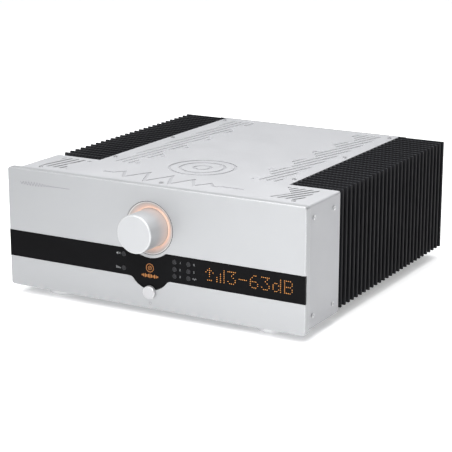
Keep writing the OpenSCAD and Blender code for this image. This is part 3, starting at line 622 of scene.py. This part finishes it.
def readout():
    """Lit and unlit dots on the window's face, over the readout's row of blocks."""
    mid_x, mid_z = middle("readout_cells")
    lo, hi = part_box("readout_cells")
    last = len(MESSAGE) - 1
    step = ((hi.x - lo.x) / MM - CELL_W) / last
    lit = Plate(WINDOW_FACE, LIT_H)
    unlit = Plate(WINDOW_FACE, UNLIT_H)
    for i, key in enumerate(MESSAGE):
        for row, dots in enumerate(GLYPHS[key]):
            for column, on in enumerate(dots):
                x = mid_x + (i - last / 2) * step + (column - 2) * DOT_PITCH
                z = mid_z + (3 - row) * DOT_PITCH
                (lit if on == "1" else unlit).dot(x, z, DOT_R)
    lit.done("readout_dots_lit", LIT)
    unlit.done("readout_dots_unlit", UNLIT)


readout()


# ---------------------------------------------------------------- marks on the front

EMBLEM_H, SIGN_H, PANEL_PRINT_H = 0.12, 0.06, 0.02
SIGN_W = 0.5
LEVELS = (2.0, 3.4, 4.8, 3.0, 4.2, 5.2, 4.2, 3.0, 4.8, 3.4, 2.0)


def emblem():
    """A loudspeaker cone over a row of level bars, in the middle of the window."""
    cone_z, cone_r, cone_w = 53, 5.3, 0.42
    dome_r, dome_w, centre_r = 2.4, 0.38, 0.6
    levels_z, pitch, w = 42.6, 2.3, 0.8
    mark = Plate(WINDOW_FACE, EMBLEM_H)
    mark.band(0, cone_z, cone_r, cone_w)
    mark.band(0, cone_z, dome_r, dome_w, steps=28)
    mark.dot(0, cone_z, centre_r, sides=14)
    for i, tall in enumerate(LEVELS):
        x = (i - (len(LEVELS) - 1) / 2) * pitch
        half = (tall - w) / 2
        mark.bar(x, levels_z - half, x, levels_z + half, w)
    mark.done("emblem_mark", EMBLEM)


def muted(plate, x, z):
    """A struck-out loudspeaker, whose horn's mouth is at x."""
    horn = [(-2.6, -0.8), (-1.5, -0.8), (0, -1.8), (0, 1.8), (-1.5, 0.8), (-2.6, 0.8)]
    plate.solid([(x + right, z + up) for right, up in horn])
    cross_from, cross_to = x + 1.2, x + 3.2
    for up in (1, -1):
        plate.bar(cross_from, z - up, cross_to, z + up, SIGN_W)


def falling(plate, x, z):
    """Five bars from x to the right, each lower than the last."""
    half, pitch, drop, w = 1.3, 1.5, 0.45, 0.7
    for i in range(5):
        bar_x = x + i * pitch
        plate.bar(bar_x, z - half, bar_x, z + half - i * drop, w)


def short_wave(plate, x, z):
    """One wave from x to the right."""
    bends = ((0, 0), (1, 1.2), (2.6, -1.2), (4.2, 1.2), (5.4, 0))
    plate.line([(x + right, z + up) for right, up in bends], SIGN_W)


def button_signs():
    """Signs beside the small buttons."""
    numeral_h, numeral_w = 2.3, 0.42
    to_muted, to_falling, to_numeral, to_wave = -8.5, -11.5, 7.6, 5.6
    signs = Plate(WINDOW_FACE, SIGN_H)
    x, z = middle("mute_button")
    muted(signs, x + to_muted, z)
    x, z = middle("dim_button")
    falling(signs, x + to_falling, z)
    for number in range(1, 6):
        x, z = middle(f"input_button_{number}")
        signs.digit(number, x + to_numeral, z, numeral_h, numeral_w)
    x, z = middle("input_button_6")
    short_wave(signs, x + to_wave, z)
    signs.done("button_signs", PRINT)


def standby_sign():
    """A broken ring with a stroke, under the standby button."""
    drop, ring_r, w = 14.3, 1.7, 0.4
    foot, top = 0.2, 2.0
    x, z = middle("standby_button")
    z -= drop
    power = Plate(0, PANEL_PRINT_H)
    power.band(x, z, ring_r, w, start=125, end=415, steps=28)
    power.bar(x, z + foot, x, z + top, w)
    power.done("standby_sign", FAINT)


def panel_mark():
    """A low zigzag that swells and dies away, at the panel's upper left."""
    left, mid_z, pitch, count = -197, 139.6, 2.2, 36
    peak, peak_at, fade = 2.6, 9, 12  # the greatest swing, and its place and width in bends
    points = []
    for i in range(count):
        swing = peak * math.exp(-((i - peak_at) / fade) ** 2)
        points.append((left + i * pitch, mid_z + swing * (-1) ** i))
    zigzag = Plate(0, PANEL_PRINT_H)
    zigzag.line(points, SIGN_W)
    zigzag.done("panel_mark", FAINT)


emblem()
button_signs()
standby_sign()
panel_mark()


# ---------------------------------------------------------------- print on the rear

REAR_FACE = (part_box("rear_panel")[1].y - FACE_Y) / MM
REAR_PRINT_H, REAR_PRINT_W = 0.04, 0.5
CORNER = 3.0
PHONO = dict(half=62.5, count=6, pitch=21)
BALANCED = dict(half=37, count=2, pitch=38)


def outline(plate, x0, z0, x1, z1):
    """A thin outline with cut corners."""
    r = CORNER
    plate.line([(x0 + r, z0), (x1 - r, z0), (x1, z0 + r), (x1, z1 - r), (x1 - r, z1), (x0 + r, z1),
                (x0, z1 - r), (x0, z0 + r), (x0 + r, z0)], REAR_PRINT_W)


def sockets(plate, node, half, count, pitch):
    """The line round a group of sockets, half its width to each side, and numerals under their columns."""
    up, down, numeral_drop, numeral_h = 25, 22, 18.4, 3
    x, z = middle(node)
    outline(plate, x - half, z - down, x + half, z + up)
    for i in range(count):
        place = x + (i - (count - 1) / 2) * pitch
        plate.digit(i + 1, place, z - numeral_drop, numeral_h, REAR_PRINT_W)


def terminals(plate, minus, plus):
    """The line round a pair of terminals, with a minus and a plus sign over them."""
    half, tall, sign_up, arm, w = 30, 20, 15, 1.6, 0.6
    (minus_x, z), (plus_x, z) = middle(minus), middle(plus)
    x = (minus_x + plus_x) / 2
    outline(plate, x - half, z - tall, x + half, z + tall)
    sign_z = z + sign_up
    for sign_x in (minus_x, plus_x):
        plate.bar(sign_x - arm, sign_z, sign_x + arm, sign_z, w)
    plate.bar(plus_x, sign_z - arm, plus_x, sign_z + arm, w)


def rear_print():
    """Lines, numerals and signs on the rear panel."""
    rear = Plate(REAR_FACE, REAR_PRINT_H, out=1)
    sockets(rear, "phono_shells", **PHONO)
    sockets(rear, "balanced_sockets", **BALANCED)
    terminals(rear, "post_cap_1", "post_cap_2")
    terminals(rear, "post_cap_3", "post_cap_4")
    rear.done("rear_print", WHITE)


rear_print()


# ---------------------------------------------------------------- studio

FLOOR_HALF = 6.0
FLOOR_GLOW = (0.2, 2.0, 0.27, 0.4)  # a near and a far distance, and the floor's own light at each

# The room's light all round, and what is added to it towards the left, the right and the front
AMBIENT, LEFT_LIGHT, RIGHT_LIGHT, FRONT_LIGHT = 0.92, -0.7, -0.85, 0.1

CAMERA_PLACE = (983.5, -1523.9, 591.5)  # panel millimetres
CAMERA_AZIMUTH, CAMERA_ELEVATION = 29.83, 14.97
CAMERA_SENSOR, CAMERA_LENS = 36, 120.58


def pale_floor():
    """A wide white floor that is a little brighter far away."""
    mesh = bmesh.new()
    bmesh.ops.create_grid(mesh, x_segments=1, y_segments=1, size=FLOOR_HALF)
    data = bpy.data.meshes.new("floor")
    mesh.to_mesh(data)
    mesh.free()
    g = Graph("floor_pale")
    place = g.axes()
    away = g.distance(place[0], place[1])
    g.set(Base_Color=g.mix(g.noise(3, 2), (0.95, 0.95, 0.95), (0.97, 0.97, 0.97)), Roughness=0.8,
          Emission_Color=(1, 1, 1), Emission_Strength=g.span(away, *FLOOR_GLOW))
    data.materials.append(g.material)
    add("floor", data)


def room_light():
    """Soft light from all round, dimmer from the sides, with a white background for the camera."""
    world = bpy.data.worlds.new("studio")
    bpy.context.scene.world = world
    world.use_nodes = True
    tree = world.node_tree
    tree.nodes.clear()

    def node(kind, *values, **settings):
        n = tree.nodes.new(kind)
        for key, value in settings.items():
            setattr(n, key, value)
        for socket, value in zip(n.inputs, values):
            if isinstance(value, bpy.types.NodeSocket):
                tree.links.new(value, socket)
            else:
                socket.default_value = value
        return n.outputs

    way = node("ShaderNodeSeparateXYZ", node("ShaderNodeTexCoord")["Generated"])
    left = node("ShaderNodeMapRange", way[0], -1, 0, LEFT_LIGHT, 0)[0]
    right = node("ShaderNodeMapRange", way[0], 0, 1, 0, RIGHT_LIGHT)[0]
    ahead = node("ShaderNodeMapRange", way[1], -1, 0, FRONT_LIGHT, 0)[0]
    level = node("ShaderNodeMath", left, right, operation="ADD")[0]
    level = node("ShaderNodeMath", level, ahead, operation="ADD")[0]
    level = node("ShaderNodeMath", level, AMBIENT, operation="ADD")[0]
    room = node("ShaderNodeBackground", (0.97, 0.985, 1.0, 1), level)[0]
    backdrop = node("ShaderNodeBackground", (1, 1, 1, 1), 1.0)[0]
    seen = node("ShaderNodeLightPath")["Is Camera Ray"]
    node("ShaderNodeOutputWorld", node("ShaderNodeMixShader", seen, room, backdrop)[0])


def lamp(name, place, size, power, aim):
    """A square lamp that shines from its place at its aim, both in metres."""
    data = bpy.data.lights.new(name, "AREA")
    data.size = size
    data.energy = power
    obj = add(name, data)
    obj.location = place
    obj.rotation_euler = (Vector(aim) - Vector(place)).to_track_quat("-Z", "Y").to_euler()
    obj.visible_camera = False


def camera():
    """The camera, which looks from the front right and a little above."""
    data = bpy.data.cameras.new("camera")
    data.sensor_width = CAMERA_SENSOR
    data.lens = CAMERA_LENS
    obj = add("camera", data)
    obj.location = at(*CAMERA_PLACE)
    obj.rotation_euler = (math.radians(90 - CAMERA_ELEVATION), 0, math.radians(CAMERA_AZIMUTH))
    bpy.context.scene.camera = obj


pale_floor()
room_light()
lamp("key_front", (0.2, -0.7, 0.5), size=0.4, power=4.2, aim=(0.2, -0.2, 0.1))
lamp("top_soft", (-0.1, 0.15, 1.6), size=2.0, power=31, aim=(0, 0, 0.08))
camera()
bpy.context.scene.view_settings.view_transform = "Standard"
